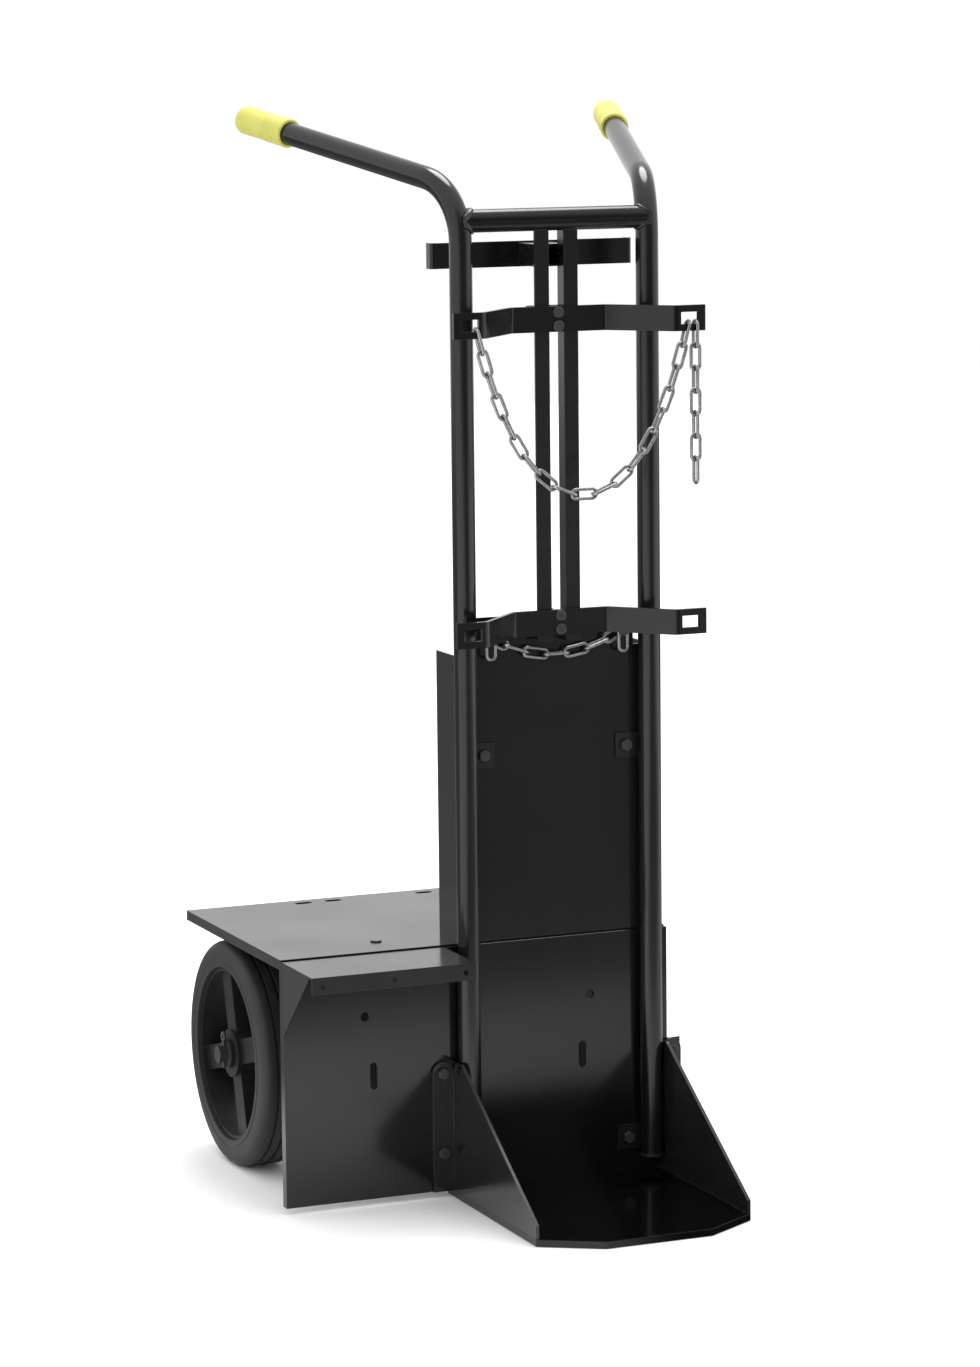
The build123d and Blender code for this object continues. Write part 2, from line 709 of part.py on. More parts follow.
# Axle brackets: folded plates under the platform that carry the axle.
bracket_outer = bracket_offset + bracket_thickness / 2
bracket_inner = bracket_offset - bracket_thickness / 2
bracket_outline = Polyline(
    (sheet_back, top_return_z),
    (top_return_back, top_return_z),
    (top_return_back, platform_under),
    (axle_back + bracket_rear_margin, platform_under),
    (axle_back + bracket_boss, axle_height),
    (axle_back, axle_height - bracket_boss),
    (axle_back - bracket_boss, axle_height - bracket_boss),
    (sheet_back, axle_height - bracket_front_drop),
    close=True,
)
bracket_face = Plane.YZ.offset(chassis_centre + bracket_inner) * make_face(bracket_outline)
right_bracket = extrude(bracket_face, bracket_thickness)
right_bracket += block(
    chassis_centre + bracket_inner - bracket_flange,
    chassis_centre + bracket_outer,
    top_return_back,
    axle_back + bracket_rear_margin,
    platform_under - bracket_thickness,
    platform_under,
)
for depth in (bracket_bolt_y, bracket_stud_y):
    right_bracket -= hole_z(chassis_centre + bracket_bolt_x, depth, small_bolt_diameter + hole_play)
axle_bore = rod(
    (chassis_centre - wheel_x, axle_back, axle_height),
    (chassis_centre + wheel_x, axle_back, axle_height),
    axle_diameter / 2 + bush_seat_gap,
)
right_bracket -= axle_bore
save("right_axle_bracket", right_bracket)
save("left_axle_bracket", chassis_mirrored(right_bracket))

# Each bracket is held by a low-headed bolt at its front and by a stud welded under the platform at its rear.
bracket_bolts = []
bracket_grip = platform_sheet + bracket_thickness
stud_length = bracket_thickness + small_nut_height + bolt_tail
stud = Pos(0, 0, -stud_length / 2) * Cylinder(small_bolt_diameter / 2, stud_length)
stud_nut = Pos(0, 0, -bracket_thickness) * hex_nut(small_bolt_diameter, small_hex_flats, small_nut_height)
for side in (-1, 1):
    place = Pos(chassis_centre + side * bracket_bolt_x, bracket_bolt_y, platform_height)
    bracket_bolts += [place * piece for piece in dome_bolt(bracket_grip, low_dome_height)]
    place = Pos(chassis_centre + side * bracket_bolt_x, bracket_stud_y, platform_under)
    bracket_bolts += [place * stud, place * stud_nut]
save("bracket_bolts", bracket_bolts)

# Axle: a round bar through both brackets, with a cross hole near each end for a cotter pin.
washer_inner = hub_half + side_clearance
washer_outer = washer_inner + washer_thickness
cotter_x = wheel_x + washer_outer + cotter_diameter / 2 + cotter_clearance
axle_half = cotter_x + axle_end
axle_radius = axle_diameter / 2


def on_axle(x):
    # A point of the axle, counted from the chassis's middle.
    return (chassis_centre + x, axle_back, axle_height)


def ring_on_axle(x0, x1, inner, outer):
    # A ring round the axle between two stations.
    return rod(on_axle(x0), on_axle(x1), outer) - rod(on_axle(x0), on_axle(x1), inner)


axle = rod(on_axle(-axle_half), on_axle(axle_half), axle_radius)
axle = chamfer(axle.edges().filter_by(GeomType.CIRCLE), axle_chamfer)
for side in (-1, 1):
    pin_x = chassis_centre + side * cotter_x
    pin_hole = Cylinder(cotter_diameter / 2 + cotter_clearance, axle_diameter * 2)
    axle -= Pos(pin_x, axle_back, axle_height) * pin_hole
save("axle", axle)

# Cotter pins: a round pin with an eye on top.
cotter = rod((0, 0, -cotter_length / 2), (0, 0, cotter_length / 2), cotter_diameter / 2)
eye_centre = cotter_length / 2 + cotter_eye_diameter / 2
cotter += Pos(0, 0, eye_centre) * Rot(0, 90, 0) * Torus(cotter_eye_diameter / 2, cotter_diameter / 2)
cotter_pins = [Pos(chassis_centre + side * cotter_x, axle_back, axle_height) * cotter for side in (-1, 1)]
save("cotter_pins", cotter_pins)

# Washers either side of each wheel, and a spacer tube from each bracket to the inner washer.
washer_hole = axle_radius + bush_seat_gap
washers = []
for side in (-1, 1):
    for station in (-washer_outer, washer_inner):
        x0 = side * wheel_x + station
        washers.append(ring_on_axle(x0, x0 + washer_thickness, washer_hole, axle_radius + washer_width))
save("axle_washers", washers)
spacer_end = wheel_x - washer_outer
right_spacer = ring_on_axle(bracket_outer, spacer_end, washer_hole, washer_hole + spacer_wall)
save("right_axle_spacer", right_spacer)
save("left_axle_spacer", chassis_mirrored(right_spacer))

# Wheels: a solid tyre on a four-spoke centre that turns on two flanged bushes.
bush_inner = axle_radius + running_clearance
bush_outer = bush_inner + bush_wall
rim_radius = rim_diameter / 2
tyre_bead = rim_radius + tyre_seat_gap
tyre_profile = Pos((tyre_bead + wheel_radius) / 2, 0) * Rectangle(wheel_radius - tyre_bead, wheel_width)
tyre_profile = fillet(tyre_profile.vertices().group_by(Axis.X)[-1], tyre_shoulder)
for offset in (-tyre_groove_offset, 0, tyre_groove_offset):
    tyre_profile -= Pos(wheel_radius, offset) * Rectangle(tyre_groove_depth * 2, tyre_groove_width)
tyre = revolve(Plane.XZ * tyre_profile, Axis.Z)

rim_profile = Pos(rim_radius - rim_thickness / 2, 0) * Rectangle(rim_thickness, rim_width)
wheel_centre = revolve(Plane.XZ * rim_profile, Axis.Z) + Cylinder(hub_diameter / 2, hub_length)
spoke_reach = rim_radius - rim_thickness / 2
for index in range(spoke_count):
    spoke = Pos(spoke_reach / 2, 0, 0) * Box(spoke_reach, spoke_width, spoke_thickness)
    wheel_centre += Rot(0, 0, index * 360 / spoke_count - spoke_lean) * spoke
wheel_centre -= Cylinder(bush_outer + bush_seat_gap, hub_length * 2)

bush = Pos(0, 0, hub_length / 2 - bush_length / 2) * Cylinder(bush_outer, bush_length)
bush += Pos(0, 0, hub_length / 2 + bush_flange_thickness / 2) * Cylinder(
    bush_outer + bush_flange_width, bush_flange_thickness
)
bush -= Cylinder(bush_inner, hub_length * 2)
for side, label in ((-1, "left"), (1, "right")):
    place = Plane(origin=on_axle(side * wheel_x), z_dir=(1, 0, 0)).location
    save(f"{label}_tyre", place * tyre)
    save(f"{label}_wheel_centre", place * wheel_centre)
    save(f"{label}_wheel_bushes", [place * bush, place * mirror(bush, about=Plane.XY)])
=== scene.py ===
import math

import bpy
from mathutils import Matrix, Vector


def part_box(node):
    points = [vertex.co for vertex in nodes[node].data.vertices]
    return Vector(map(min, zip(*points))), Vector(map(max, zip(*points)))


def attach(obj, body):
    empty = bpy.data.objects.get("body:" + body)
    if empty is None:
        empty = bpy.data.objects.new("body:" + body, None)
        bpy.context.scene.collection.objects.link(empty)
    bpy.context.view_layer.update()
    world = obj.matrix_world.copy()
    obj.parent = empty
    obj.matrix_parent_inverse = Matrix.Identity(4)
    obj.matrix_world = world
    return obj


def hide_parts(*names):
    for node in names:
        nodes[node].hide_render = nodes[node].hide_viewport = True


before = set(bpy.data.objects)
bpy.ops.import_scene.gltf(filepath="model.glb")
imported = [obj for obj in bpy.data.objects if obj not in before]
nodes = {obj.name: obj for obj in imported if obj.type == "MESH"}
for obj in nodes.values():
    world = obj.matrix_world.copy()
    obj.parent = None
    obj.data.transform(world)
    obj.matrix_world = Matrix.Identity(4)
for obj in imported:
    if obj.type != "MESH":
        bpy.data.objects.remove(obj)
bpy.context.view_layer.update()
scene = bpy.context.scene

# Camera: a long lens at chest height, in front of the trolley and to its left,
# looking slightly down on the toe plate and the platform.
focal_length_px, picture_height_px = 4470.0, 1367.0
camera_data = bpy.data.cameras.new("camera")
camera_data.sensor_fit = "VERTICAL"
camera_data.sensor_height = 24.0
camera_data.lens = camera_data.sensor_height * focal_length_px / picture_height_px
camera_data.clip_end = 100.0
camera = bpy.data.objects.new("camera", camera_data)
camera.location = (-2.0838, -4.7718, 1.3635)
camera.rotation_euler = [math.radians(angle) for angle in (81.7517, 0.6157, -22.796)]
scene.collection.objects.link(camera)
scene.camera = camera

# Studio: a pale paper floor in a white room, under one soft light. In the trolley's paint, the far side of
# the room and the floor close by are white. The camera's side is dark, as behind a studio's lights. The floor
# also carries
# painted reflected shade: only for rays reflected off the paint is it grey a step in front of the trolley, to
# its right and behind it, and near black just before the toe plate.
value_a, value_b, value_out = 2, 3, 0  # a mix node's sockets for plain values
colour_a, colour_b, colour_out = 6, 7, 2  # and for colours


def grey(level):
    # A neutral colour.
    return (level, level, level, 1.0)


def feed(tree, socket, value):
    # Links another node's output to a socket, or sets a constant on it.
    if isinstance(value, bpy.types.NodeSocket):
        tree.links.new(value, socket)
    else:
        socket.default_value = value


def combine(tree, operation, *values):
    # One sum of two or three values or masks.
    node = tree.nodes.new("ShaderNodeMath")
    node.operation = operation
    for socket, value in zip(node.inputs, values):
        feed(tree, socket, value)
    return node.outputs["Value"]


def ramp(tree, value, source, target=(0.0, 1.0), smooth=False):
    # Carries a value from one range to another, and stops at its ends.
    node = tree.nodes.new("ShaderNodeMapRange")
    if smooth:
        node.interpolation_type = "SMOOTHSTEP"
    for label, limit in zip(("From Min", "From Max", "To Min", "To Max"), source + target):
        node.inputs[label].default_value = limit
    feed(tree, node.inputs["Value"], value)
    return node.outputs["Result"]


def mix_values(tree, factor, first, second):
    # Goes from the first value to the second.
    node = tree.nodes.new("ShaderNodeMix")
    feed(tree, node.inputs["Factor"], factor)
    feed(tree, node.inputs[value_a], first)
    feed(tree, node.inputs[value_b], second)
    return node.outputs[value_out]


def mix_colours(tree, factor, first, second):
    # Goes from the first colour to the second.
    node = tree.nodes.new("ShaderNodeMix")
    node.data_type = "RGBA"
    feed(tree, node.inputs["Factor"], factor)
    feed(tree, node.inputs[colour_a], first)
    feed(tree, node.inputs[colour_b], second)
    return node.outputs[colour_out]


def new_finish(name):
    # A finish with the standard shader, and that shader's sockets.
    material = bpy.data.materials.new(name)
    material.use_nodes = True
    return material, material.node_tree, material.node_tree.nodes["Principled BSDF"].inputs


pale, reflected_shade_grey, reflected_shadow_black = grey(0.95), grey(0.18), grey(0.02)
floor_size, floor_place = 18.0, (0.0, 1.5, -0.0006)
bpy.ops.object.select_all(action="DESELECT")
bpy.ops.mesh.primitive_plane_add(size=floor_size, location=floor_place)
floor = bpy.context.object
floor.name = "floor"
bpy.ops.object.transform_apply(location=True)
floor_paper, floor_tree, paper = new_finish("floor_paper")
paper["Roughness"].default_value = 0.9
paper["Specular IOR Level"].default_value = 0.0
floor_point = floor_tree.nodes.new("ShaderNodeTexCoord")
floor_spot = floor_tree.nodes.new("ShaderNodeSeparateXYZ")
feed(floor_tree, floor_spot.inputs["Vector"], floor_point.outputs["Object"])


def floor_edge(axis, bright, dark):
    # A soft border on the floor: 0 at the bright coordinate, 1 at the dark one.
    return ramp(floor_tree, floor_spot.outputs[axis], (bright, dark), smooth=True)


def both(first, second):
    # Where two masks of the floor overlap.
    return combine(floor_tree, "MULTIPLY", first, second)


in_front = floor_edge("Y", -0.6, -1.25)
to_the_right = both(floor_edge("X", -0.25, 0.45), 0.45)
behind = floor_edge("Y", 0.25, 0.75)
strip = both(floor_edge("X", -1.6, -0.8), floor_edge("X", 3.2, 2.2))
# Painted reflected shade: where this mask lies, the floor turns grey, but only for rays reflected off the
# paint.
reflected_shade_mask = both(combine(floor_tree, "MAXIMUM", in_front, to_the_right), strip)
reflected_shade_mask = combine(floor_tree, "MAXIMUM", reflected_shade_mask, behind)
# Painted reflected shadow: just before the toe plate the floor turns near black, only for rays reflected off
# the paint, so the apron's foot looks dark.
toe_shadow_mask = both(floor_edge("X", -0.10, 0.04), floor_edge("X", 0.60, 0.45))
toe_shadow_mask = both(toe_shadow_mask, floor_edge("Y", -0.55, -0.39))
in_paint = floor_tree.nodes.new("ShaderNodeLightPath").outputs["Is Glossy Ray"]
floor_colour = mix_colours(floor_tree, both(reflected_shade_mask, in_paint), pale, reflected_shade_grey)
floor_colour = mix_colours(floor_tree, both(toe_shadow_mask, in_paint), floor_colour, reflected_shadow_black)
feed(floor_tree, paper["Base Color"], floor_colour)
floor.data.materials.append(floor_paper)

camera_side, far_side = -0.97, -0.60
dark_wall, white_wall, room_light, backdrop_light = 0.10, 1.12, 1.45, 1.0
room = bpy.data.worlds.new("room")
room.use_nodes = True
room.cycles.sampling_method = "NONE"
scene.world = room
room_tree = room.node_tree
direction = room_tree.nodes.new("ShaderNodeTexCoord")
room_spot = room_tree.nodes.new("ShaderNodeSeparateXYZ")
feed(room_tree, room_spot.inputs["Vector"], direction.outputs["Generated"])
walls = ramp(
    room_tree, room_spot.outputs["Y"], (camera_side, far_side), (dark_wall, white_wall), smooth=True
)
ray = room_tree.nodes.new("ShaderNodeLightPath").outputs
brightness = mix_values(room_tree, ray["Is Glossy Ray"], room_light, walls)
brightness = mix_values(room_tree, ray["Is Camera Ray"], brightness, backdrop_light)
background = room_tree.nodes["Background"].inputs
background["Color"].default_value = grey(1.0)
feed(room_tree, background["Strength"], brightness)

softbox_data = bpy.data.lights.new("softbox", "AREA")
softbox_data.shape = "DISK"
softbox_data.size = 1.6
softbox_data.energy = 60.0
softbox = bpy.data.objects.new("softbox", softbox_data)
softbox.location = (0.5, 0.8, 3.3)
softbox_aim = Vector((0.0, 0.1, 0.4))
softbox.rotation_euler = (softbox_aim - softbox.location).to_track_quat("-Z", "Y").to_euler()
scene.collection.objects.link(softbox)
scene.view_settings.view_transform = "Standard"

# Toe plate: the cylinder's foot, cut from thick steel plate with its front corners cropped, and sprayed with
# the black gloss enamel that covers the whole frame. Cylinders scrape it, so its edges are worn.


def tinted(shade, ratios):
    # A colour made of one shade and its three ratios.
    return tuple(shade * ratio for ratio in ratios) + (1.0,)


def mottle(tree, scale, detail=2.0, roughness=0.5):
    # Cloudy mottling in the piece's own space.
    place = tree.nodes.new("ShaderNodeTexCoord")
    node = tree.nodes.new("ShaderNodeTexNoise")
    node.inputs["Detail"].default_value = detail
    node.inputs["Roughness"].default_value = roughness
    feed(tree, node.inputs["Vector"], place.outputs["Object"])
    feed(tree, node.inputs["Scale"], scale)
    return node.outputs["Fac"]


def round_edges(tree, radius):
    # The normal with the edges rounded.
    node = tree.nodes.new("ShaderNodeBevel")
    node.samples = 4
    feed(tree, node.inputs["Radius"], radius)
    return node.outputs["Normal"]


def relief(tree, height, strength, distance, normal=None):
    # The normal with a fine relief.
    node = tree.nodes.new("ShaderNodeBump")
    node.inputs["Strength"].default_value = strength
    node.inputs["Distance"].default_value = distance
    feed(tree, node.inputs["Height"], height)
    if normal is not None:
        feed(tree, node.inputs["Normal"], normal)
    return node.outputs["Normal"]


def new_effect(name, inputs, outputs):
    # A new effect for several finishes, with its settings and results.
    group = bpy.data.node_groups.new(name, "ShaderNodeTree")
    for label, start in inputs:
        socket = group.interface.new_socket(label, in_out="INPUT", socket_type="NodeSocketFloat")
        socket.default_value = start
    for label, kind in outputs:
        group.interface.new_socket(label, in_out="OUTPUT", socket_type=kind)
    return group, group.nodes.new("NodeGroupInput").outputs, group.nodes.new("NodeGroupOutput").inputs


def use_effect(tree, group, settings):
    # An effect placed in a finish with its own settings.
    node = tree.nodes.new("ShaderNodeGroup")
    node.node_tree = group
    for label, value in settings.items():
        node.inputs[label].default_value = value
    return node.outputs


def edge_wear_group():
    # Where a coat rubs thin: sharp edges in patches. An edge is where the rounded normal leaves the true one.
    inputs = (("Edge Width", 0.0015), ("Patch Scale", 40.0), ("Amount", 0.5))
    outputs = (("Mask", "NodeSocketFloat"), ("Rounded", "NodeSocketVector"))
    group, given, out = new_effect("edge_wear", inputs, outputs)
    rounded = round_edges(group, given["Edge Width"])
    surface = group.nodes.new("ShaderNodeNewGeometry")
    turn = group.nodes.new("ShaderNodeVectorMath")
    turn.operation = "DOT_PRODUCT"
    feed(group, turn.inputs[0], rounded)
    feed(group, turn.inputs[1], surface.outputs["Normal"])
    sharp = ramp(group, turn.outputs["Value"], (0.97, 0.80))
    worn = ramp(group, mottle(group, given["Patch Scale"], 4.0, 0.65), (0.52, 0.68))
    mask = combine(group, "MULTIPLY", sharp, worn)
    feed(group, out["Mask"], combine(group, "MULTIPLY", mask, given["Amount"]))
    feed(group, out["Rounded"], rounded)
    return group


def orange_peel_group():
    # The skin of sprayed enamel: a fine ripple over long shallow waves.
    inputs = (("Ripple Scale", 600.0), ("Wave Scale", 60.0), ("Wave Share", 0.5))
    group, given, out = new_effect("orange_peel", inputs, (("Height", "NodeSocketFloat"),))
    ripple = mottle(group, given["Ripple Scale"], 1.0)
    wave = mottle(group, given["Wave Scale"], 1.0)
    feed(group, out["Height"], mix_values(group, given["Wave Share"], ripple, wave))
    return group


def settled_dust_group():
    # Workshop dust: it lies on what faces up, in drifts, and hardly at all elsewhere.
    inputs = (("Drift Scale", 9.0), ("Amount", 0.2))
    group, given, out = new_effect("settled_dust", inputs, (("Mask", "NodeSocketFloat"),))
    surface = group.nodes.new("ShaderNodeNewGeometry")
    split = group.nodes.new("ShaderNodeSeparateXYZ")
    feed(group, split.inputs["Vector"], surface.outputs["Normal"])
    facing_up = ramp(group, split.outputs["Z"], (0.2, 0.95), (0.12, 1.0))
    thick = ramp(group, mottle(group, given["Drift Scale"], 6.0), (0.35, 0.75))
    mask = combine(group, "MULTIPLY", facing_up, thick)
    feed(group, out["Mask"], combine(group, "MULTIPLY", mask, given["Amount"]))
    return group


edge_wear = edge_wear_group()
orange_peel = orange_peel_group()
settled_dust = settled_dust_group()


def black_enamel(name, shade, gloss, shine, ripple=0.06, wear=0.25, edge=0.0008, dust=0.03):
    # Black gloss enamel over steel: shade is the pigment, gloss the roughness, shine the specular level.
    # The whole frame wears one enamel; the pigments set lighter or darker on some parts below are painted
    # light and shade.
    bare_steel, grey_dust, bare_roughness = (0.16, 0.155, 0.15, 1.0), (0.24, 0.23, 0.21, 1.0), 0.5
    material, tree, shader = new_finish(name)
    shader["Specular IOR Level"].default_value = shine
    cloud = mottle(tree, 7.0, 5.0)
    rubbed = use_effect(tree, edge_wear, {"Edge Width": edge, "Amount": wear})
    grime = use_effect(tree, settled_dust, {"Amount": dust})
    skin = use_effect(tree, orange_peel, {})
    colour = mix_colours(tree, cloud, tinted(shade, (0.75, 0.75, 0.8)), tinted(shade, (1.3, 1.3, 1.35)))
    colour = mix_colours(tree, rubbed["Mask"], colour, bare_steel)
    colour = mix_colours(tree, grime["Mask"], colour, grey_dust)
    haze = ramp(tree, cloud, (0.3, 0.7), (gloss * 0.85, gloss * 1.2))
    feed(tree, shader["Base Color"], colour)
    feed(tree, shader["Roughness"], combine(tree, "MULTIPLY_ADD", rubbed["Mask"], bare_roughness, haze))
    feed(tree, shader["Normal"], relief(tree, skin["Height"], ripple, 0.0006, rubbed["Rounded"]))
    return material


def dress(node_name, material):
    # Gives a CAD node its finish.
    nodes[node_name].data.materials.clear()
    nodes[node_name].data.materials.append(material)


# The toe plate's pigment is set darker than the uprights' enamel: painted shade.
dress("toe_plate", black_enamel("toe_enamel", 0.002, 0.08, 0.45, wear=0.4, edge=0.001, dust=0.0))

# Gussets: two triangular side plates folded from sheet, welded to the toe plate and bolted to the apron,
# so the weight on the toe goes into the frame. The weld runs along their inner foot.
sides = {"left": -1, "right": 1}
quarter = math.radians(90.0)
# The gussets' pigment is set lighter than the uprights' enamel: painted light on faces that stand in shade.
gusset_enamel = black_enamel("gusset_enamel", 0.011, 0.16, 0.5, wear=0.3)
for side in sides:
    dress(f"{side}_gusset", gusset_enamel)
weld_enamel = black_enamel("weld_enamel", 0.008, 0.28, 0.5, ripple=0.7, wear=0.0, edge=0.0006)
puddle_size, puddle_height, puddle_spacing = 0.006, 0.0012, 0.004


def finish_weld(label):
    # Roughens a bead as the puddles of a hand weld leave it, and fixes it to the frame.
    bead = bpy.context.object
    bead.name = label
    bpy.ops.object.transform_apply(location=True, rotation=True, scale=True)
    puddles = bpy.data.textures.new(label, "CLOUDS")
    puddles.noise_scale = puddle_size
    ripple = bead.modifiers.new("puddles", "DISPLACE")
    ripple.texture = puddles
    ripple.texture_coords = "LOCAL"
    ripple.strength = puddle_height
    ripple.mid_level = 0.5
    bpy.ops.object.modifier_apply(modifier="puddles")
    bpy.ops.object.shade_smooth()
    bead.data.materials.append(weld_enamel)
    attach(bead, "frame")


def straight_weld(label, middle, length, radius, turn):
    # A fillet bead along one edge: a thin bar with many rings, domed at both ends.
    bpy.ops.object.select_all(action="DESELECT")
    bpy.ops.mesh.primitive_cylinder_add(
        vertices=12, radius=radius, depth=length, location=middle, rotation=turn
    )
    bpy.ops.object.mode_set(mode="EDIT")
    bpy.ops.mesh.select_all(action="DESELECT")
    bpy.ops.mesh.select_mode(type="FACE")
    bpy.ops.object.mode_set(mode="OBJECT")
    for face in bpy.context.object.data.polygons:
        face.select = abs(face.normal.z) > 0.9
    bpy.ops.object.mode_set(mode="EDIT")
    bpy.ops.mesh.bevel(offset=radius * 0.7, segments=3)
    bpy.ops.mesh.select_mode(type="EDGE")
    bpy.ops.mesh.select_all(action="DESELECT")
    bpy.ops.object.mode_set(mode="OBJECT")
    mesh = bpy.context.object.data
    for edge in mesh.edges:
        a, b = (mesh.vertices[index].co for index in edge.vertices)
        edge.select = abs(a.z - b.z) > length * 0.5
    bpy.ops.object.mode_set(mode="EDIT")
    bpy.ops.mesh.subdivide(number_cuts=max(4, int(length / puddle_spacing)))
    bpy.ops.object.mode_set(mode="OBJECT")
    finish_weld(label)


gusset_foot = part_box("right_gusset")
toe_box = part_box("toe_plate")
gusset_weld_back, gusset_weld_front, gusset_weld_radius = 0.012, -0.228, 0.0022
gusset_weld_sink, gusset_weld_lift = 0.0002, 0.0003
gusset_weld_x = gusset_foot[0].x - gusset_weld_sink
gusset_weld_y = (gusset_weld_back + gusset_weld_front) / 2
gusset_weld_z = toe_box[1].z + gusset_weld_lift
for side, sign in sides.items():
    straight_weld(
        f"{side}_gusset_weld",
        (sign * gusset_weld_x, gusset_weld_y, gusset_weld_z),
        gusset_weld_back - gusset_weld_front,
        gusset_weld_radius,
        (quarter, 0.0, 0.0),
    )

# Uprights: two lengths of round steel tube, each bent back and outward at the top into a handle.
# The lower ends are closed with push-in plugs.
tube_enamel = black_enamel("tube_enamel", 0.005, 0.17, 0.5)
for side in sides:
    dress(f"{side}_upright", tube_enamel)
upright_x, tube_radius = 0.118, 0.01345
handle_corner = Vector((upright_x, 0.0, 1.190))
handle_tip = Vector((0.239, 0.380, 1.265))
handle_line = (handle_tip - handle_corner).normalized()
bend_radius = 0.075
bend_start = handle_corner.z - bend_radius * math.tan(math.acos(handle_line.z) / 2.0)
bend_lean = Vector((handle_line.x, handle_line.y, 0.0)).normalized()


def black_moulding(name, shade, roughness, grain, shine=0.5):
    # Black injection-moulded plastic with a fine spark-eroded grain.
    material, tree, shader = new_finish(name)
    shader["Specular IOR Level"].default_value = shine
    streaks = mottle(tree, 25.0, 4.0)
    grime = use_effect(tree, settled_dust, {"Amount": 0.15})
    colour = mix_colours(tree, streaks, grey(shade * 0.7), tinted(shade, (1.4, 1.4, 1.38)))
    colour = mix_colours(tree, grime["Mask"], colour, (0.2, 0.19, 0.17, 1.0))
    feed(tree, shader["Base Color"], colour)
    feed(tree, shader["Roughness"], ramp(tree, streaks, (0.0, 1.0), (roughness * 0.8, roughness * 1.2)))
    feed(tree, shader["Normal"], relief(tree, mottle(tree, grain), 0.25, 0.0004, round_edges(tree, 0.0015)))
    return material


dress("upright_plugs", black_moulding("plug_plastic", 0.012, 0.5, 1800.0))

# Top cross tube: a short length of the same tube, coped at both ends and welded all round to the uprights.
# The uprights already bend back there, so the weld fills the gap at the top.
# Its pigment is set darker than the uprights' enamel: painted shade.
dress("top_cross_tube", black_enamel("cross_tube_enamel", 0.002, 0.2, 0.38))
cross_height, cross_weld_radius, weld_rise = 1.1525, 0.0021, 0.0003


def on_upright(point, sign):
    # The place on the bent tube's skin that lies nearest to a point, at the same height.
    climb = max(0.0, point.z - bend_start)
    drift = bend_radius - math.sqrt(bend_radius ** 2 - climb ** 2)
    middle = Vector((sign * (upright_x + bend_lean.x * drift), bend_lean.y * drift, point.z))
    return middle + (point - middle).normalized() * (tube_radius + weld_rise)


for side, sign in sides.items():
    bpy.ops.object.select_all(action="DESELECT")
    bpy.ops.mesh.primitive_torus_add(
        major_segments=72,
        minor_segments=8,
        major_radius=tube_radius,
        minor_radius=cross_weld_radius,
        location=(sign * upright_x, 0.0, cross_height),
        rotation=(0.0, quarter, 0.0),
    )
    bpy.ops.object.transform_apply(location=True, rotation=True, scale=True)
    for corner in bpy.context.object.data.vertices:
        reach = sign * corner.co.x - upright_x
        across = min(abs(corner.co.y), tube_radius)
        corner.co.x -= sign * math.sqrt(tube_radius ** 2 - across ** 2)
        if reach > 0.0:
            corner.co = corner.co.lerp(on_upright(corner.co, sign), min(1.0, reach / cross_weld_radius))
    finish_weld(f"{side}_cross_tube_weld")

# Grips: soft yellow vinyl sleeves, dip-moulded and pushed on the handle ends. Each has a rolled rim at its
# mouth, three shallow rings and a rounded closed end.


def turned(label, rings):
    # A turned shape round the Z axis: a circle carried from ring to ring by extruding and scaling its rim.
    bpy.ops.object.select_all(action="DESELECT")
    radius, height = rings[0]
    bpy.ops.mesh.primitive_circle_add(vertices=64, radius=radius, location=(0.0, 0.0, height))
    piece = bpy.context.object
    piece.name = label
    bpy.ops.object.transform_apply(location=True)
    bpy.ops.object.mode_set(mode="EDIT")
    bpy.ops.mesh.select_all(action="SELECT")
    for next_radius, next_height in rings[1:]:
        bpy.ops.mesh.extrude_region_move(TRANSFORM_OT_translate={"value": (0.0, 0.0, next_height - height)})
        ratio = next_radius / radius
        bpy.ops.transform.resize(value=(ratio, ratio, 1.0), center_override=(0.0, 0.0, next_height))
        radius, height = next_radius, next_height
    return piece


def quarter_turn():
    # The cosine and sine of six equal steps round a quarter circle.
    angles = [quarter * step / 6 for step in range(1, 7)]
    return [(math.cos(angle), math.sin(angle)) for angle in angles]


def yellow_vinyl():
    # Dip-moulded vinyl: a warm yellow, glossy where hands polish it, with fine flow marks and some grey soil.
    material, tree, shader = new_finish("grip_vinyl")
    shader["Subsurface Weight"].default_value = 0.08
    shader["Subsurface Radius"].default_value = (0.004, 0.003, 0.001)
    flow = mottle(tree, 45.0, 5.0)
    soil = mottle(tree, 110.0, 8.0)
    specks = ramp(tree, soil, (0.62, 0.85), (0.0, 0.5))
    colour = mix_colours(tree, flow, (0.44, 0.425, 0.075, 1.0), (0.53, 0.515, 0.112, 1.0))
    colour = mix_colours(tree, specks, colour, (0.20, 0.18, 0.07, 1.0))
    feed(tree, shader["Base Color"], colour)
    feed(tree, shader["Roughness"], ramp(tree, flow, (0.0, 1.0), (0.42, 0.60)))
    feed(tree, shader["Normal"], relief(tree, soil, 0.07, 0.0008))
    return material


grip_vinyl = yellow_vinyl()
